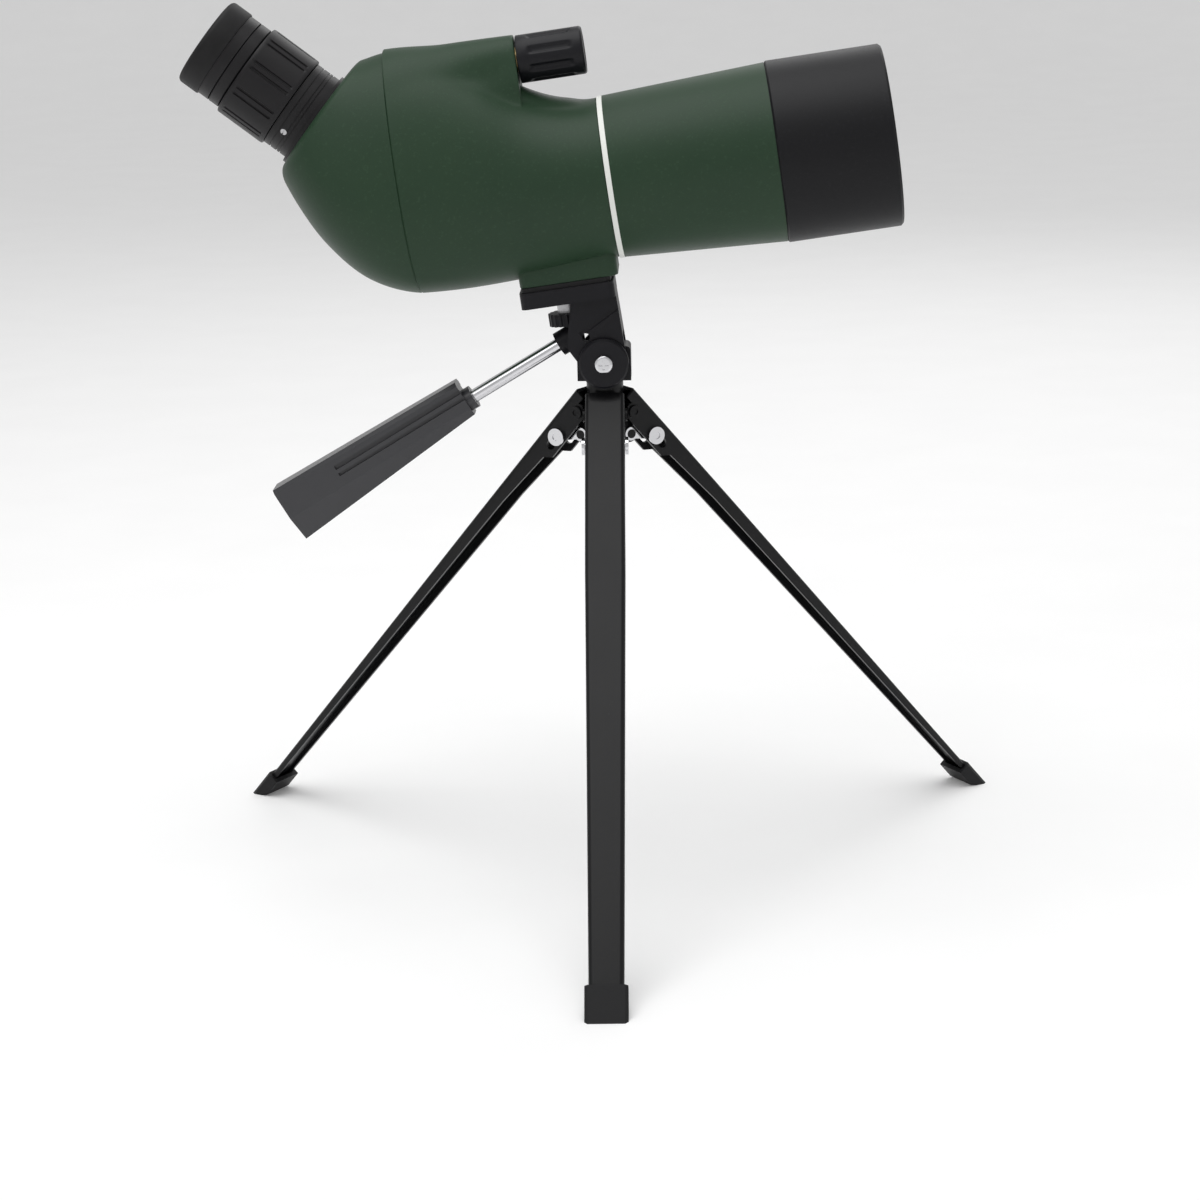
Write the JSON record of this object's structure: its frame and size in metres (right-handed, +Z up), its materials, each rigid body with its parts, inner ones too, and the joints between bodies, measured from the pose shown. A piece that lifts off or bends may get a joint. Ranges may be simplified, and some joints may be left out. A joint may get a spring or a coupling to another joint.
{
  "type": "spotting scope",
  "caption": "Angled-eyepiece spotting scope with zoom ring, focus knob and sliding sunshade, on a small folding tripod with a pan and tilt head and lever handle.",
  "frame": {"origin": "centre of the bounding box at ground level, legs open", "axes": "+Z up, +X the way the scope looks, +Y to its left"},
  "size_m": [0.2758, 0.2386, 0.2958],
  "materials": {
    "green_armour": "satin rubber-touch coating",
    "black_armour": "satin black coating",
    "accent_white": "gloss white",
    "eyepiece_black": "satin black",
    "knob_black": "satin black",
    "cup_rubber": "soft matt rubber",
    "seal_rubber": "soft rubber",
    "leg_paint": "gloss black paint on steel",
    "foot_plastic": "black plastic",
    "head_plastic": "black moulded nylon",
    "grip_plastic": "semi-gloss dark grey",
    "bright_chrome": "bright plating",
    "plain_steel": "turned steel",
    "brass": "turned brass",
    "nylon_white": "natural nylon",
    "anodised_black": "black anodised",
    "coated_glass": "coated optical glass"
  },
  "bodies": {
    "tripod_hub": {"tripod_hub": "leg_paint", "pan_washers": "nylon_white", "hub_hinge_pins": "leg_paint"},
    "leg_front": {"leg_front": "leg_paint", "foot_front": "foot_plastic"},
    "leg_right": {"leg_right": "leg_paint", "foot_right": "foot_plastic"},
    "leg_left": {"leg_left": "leg_paint", "foot_left": "foot_plastic"},
    "link_front": {"link_front": "bright_chrome", "link_tip_pin_front": "bright_chrome"},
    "link_right": {"link_right": "bright_chrome", "link_tip_pin_right": "bright_chrome"},
    "link_left": {"link_left": "bright_chrome", "link_tip_pin_left": "bright_chrome"},
    "pan_head": {"pan_bracket": "head_plastic", "pan_bolt": "plain_steel"},
    "camera_screw": {"camera_screw": "plain_steel", "camera_screw_wheel": "head_plastic"},
    "handle": {"handle_rod": "bright_chrome", "handle_grip": "grip_plastic"},
    "hood": {"sunshade_hood": "black_armour"},
    "focus_knob": {"focus_knob": "knob_black", "focus_shaft": "plain_steel"},
    "focus_carriage": {"focus_carriage": "anodised_black", "focusing_lens": "coated_glass"},
    "zoom_ring": {"zoom_ring": "eyepiece_black"},
    "zoom_lower": {"zoom_cell_lower": "anodised_black", "zoom_lens_lower": "coated_glass"},
    "zoom_upper": {"zoom_cell_upper": "anodised_black", "zoom_lens_upper": "coated_glass"},
    "eyecup_ring": {"eyecup_twist_ring": "eyepiece_black"},
    "eyecup": {"eyecup_sleeve": "eyepiece_black", "eyecup_rubber": "cup_rubber"},
    "scope": {"tilt_arm": "head_plastic", "platform_pad": "cup_rubber", "tilt_discs": "head_plastic", "tilt_screw": "bright_chrome", "tilt_nut": "bright_chrome", "main_body": "green_armour", "tripod_insert": "brass", "rear_housing": "green_armour", "seam_gasket": "seal_rubber", "accent_ring": "accent_white", "objective_barrel": "green_armour", "objective_tube": "anodised_black", "objective_flint": "coated_glass", "objective_crown": "coated_glass", "retaining_ring": "anodised_black", "hood_friction_ring": "seal_rubber", "focus_bush": "brass", "roof_prism": "coated_glass", "entry_prism": "coated_glass", "prism_holder": "anodised_black", "eyepiece_flange": "eyepiece_black", "eyepiece_tube": "anodised_black", "eyepiece_collar": "eyepiece_black", "collar_set_screw": "plain_steel", "eye_lens_cell": "anodised_black", "eye_lens": "coated_glass"}
  },
  "joints": [
    {"name": "pan", "type": "hinge", "parent": "tripod_hub", "child": "pan_head", "pos_m": [0.00021, 0.03636, 0.1686], "axis": [0, 0, 1], "continuous": true},
    {"name": "tilt", "type": "hinge", "parent": "pan_head", "child": "scope", "pos_m": [0.00021, 0.03636, 0.1758], "axis": [0, -1, 0], "range_deg": [-40, 30]},
    {"name": "leg_front_fold", "type": "hinge", "parent": "tripod_hub", "child": "leg_front", "pos_m": [0.00021, 0.02886, 0.1577], "axis": [1, 0, 0], "range_deg": [0, 40]},
    {"name": "link_front_fold", "type": "hinge", "parent": "tripod_hub", "child": "link_front", "pos_m": [0.00021, 0.02886, 0.1497], "axis": [1, 0, 0], "range_deg": [0, 80]},
    {"name": "leg_right_fold", "type": "hinge", "parent": "tripod_hub", "child": "leg_right", "pos_m": [0.0067, 0.04011, 0.1577], "axis": [-0.5, 0.866, 0], "range_deg": [0, 40]},
    {"name": "link_right_fold", "type": "hinge", "parent": "tripod_hub", "child": "link_right", "pos_m": [0.0067, 0.04011, 0.1497], "axis": [-0.5, 0.866, 0], "range_deg": [0, 80]},
    {"name": "leg_left_fold", "type": "hinge", "parent": "tripod_hub", "child": "leg_left", "pos_m": [-0.00629, 0.04011, 0.1577], "axis": [-0.5, -0.866, 0], "range_deg": [0, 40]},
    {"name": "link_left_fold", "type": "hinge", "parent": "tripod_hub", "child": "link_left", "pos_m": [-0.00629, 0.04011, 0.1497], "axis": [-0.5, -0.866, 0], "range_deg": [0, 80]},
    {"name": "camera_screw_turn", "type": "hinge", "parent": "scope", "child": "camera_screw", "pos_m": [-0.01117, 0.03636, 0.19201], "axis": [-0.1288, 0, 0.9917], "range_deg": [-360, 0]},
    {"name": "handle_twist", "type": "hinge", "parent": "scope", "child": "handle", "pos_m": [-0.01059, 0.03636, 0.1833], "axis": [-0.8625, 0, -0.506], "range_deg": [-90, 90]},
    {"name": "hood_slide", "type": "slide", "parent": "scope", "child": "hood", "axis": [0.9917, 0, 0.1288], "range_m": [0, 0.025]},
    {"name": "focus_turn", "type": "hinge", "parent": "scope", "child": "focus_knob", "pos_m": [-0.02656, 0.03636, 0.27553], "axis": [0.9917, 0, 0.1288], "range_deg": [-360, 360]},
    {"name": "focus_travel", "type": "slide", "parent": "scope", "child": "focus_carriage", "axis": [0.9917, 0, 0.1288], "range_m": [-0.004, 0.004]},
    {"name": "zoom_turn", "type": "hinge", "parent": "scope", "child": "zoom_ring", "pos_m": [-0.10146, 0.03636, 0.26283], "axis": [-0.7923, 0, 0.6101], "range_deg": [0, 120]},
    {"name": "zoom_lower_travel", "type": "slide", "parent": "scope", "child": "zoom_lower", "axis": [-0.7923, 0, 0.6101], "range_m": [0, 0.005]},
    {"name": "zoom_upper_travel", "type": "slide", "parent": "scope", "child": "zoom_upper", "axis": [-0.7923, 0, 0.6101], "range_m": [-0.005, 0]},
    {"name": "eyecup_turn", "type": "hinge", "parent": "scope", "child": "eyecup_ring", "pos_m": [-0.11619, 0.03636, 0.27418], "axis": [-0.7923, 0, 0.6101], "range_deg": [0, 180]},
    {"name": "eyecup_travel", "type": "slide", "parent": "scope", "child": "eyecup", "axis": [-0.7923, 0, 0.6101], "range_m": [0, 0.006]}
  ],
  "couplings": [
    {"joint": "link_front_fold", "follows": "leg_front_fold", "ratio": 2},
    {"joint": "link_right_fold", "follows": "leg_right_fold", "ratio": 2},
    {"joint": "link_left_fold", "follows": "leg_left_fold", "ratio": 2},
    {"joint": "focus_travel", "follows": "focus_turn", "m_per_rad": 0.0006366},
    {"joint": "zoom_lower_travel", "follows": "zoom_turn", "m_per_rad": 0.002387},
    {"joint": "zoom_upper_travel", "follows": "zoom_turn", "m_per_rad": -0.002387},
    {"joint": "eyecup_travel", "follows": "eyecup_turn", "m_per_rad": 0.001909}
  ]
}
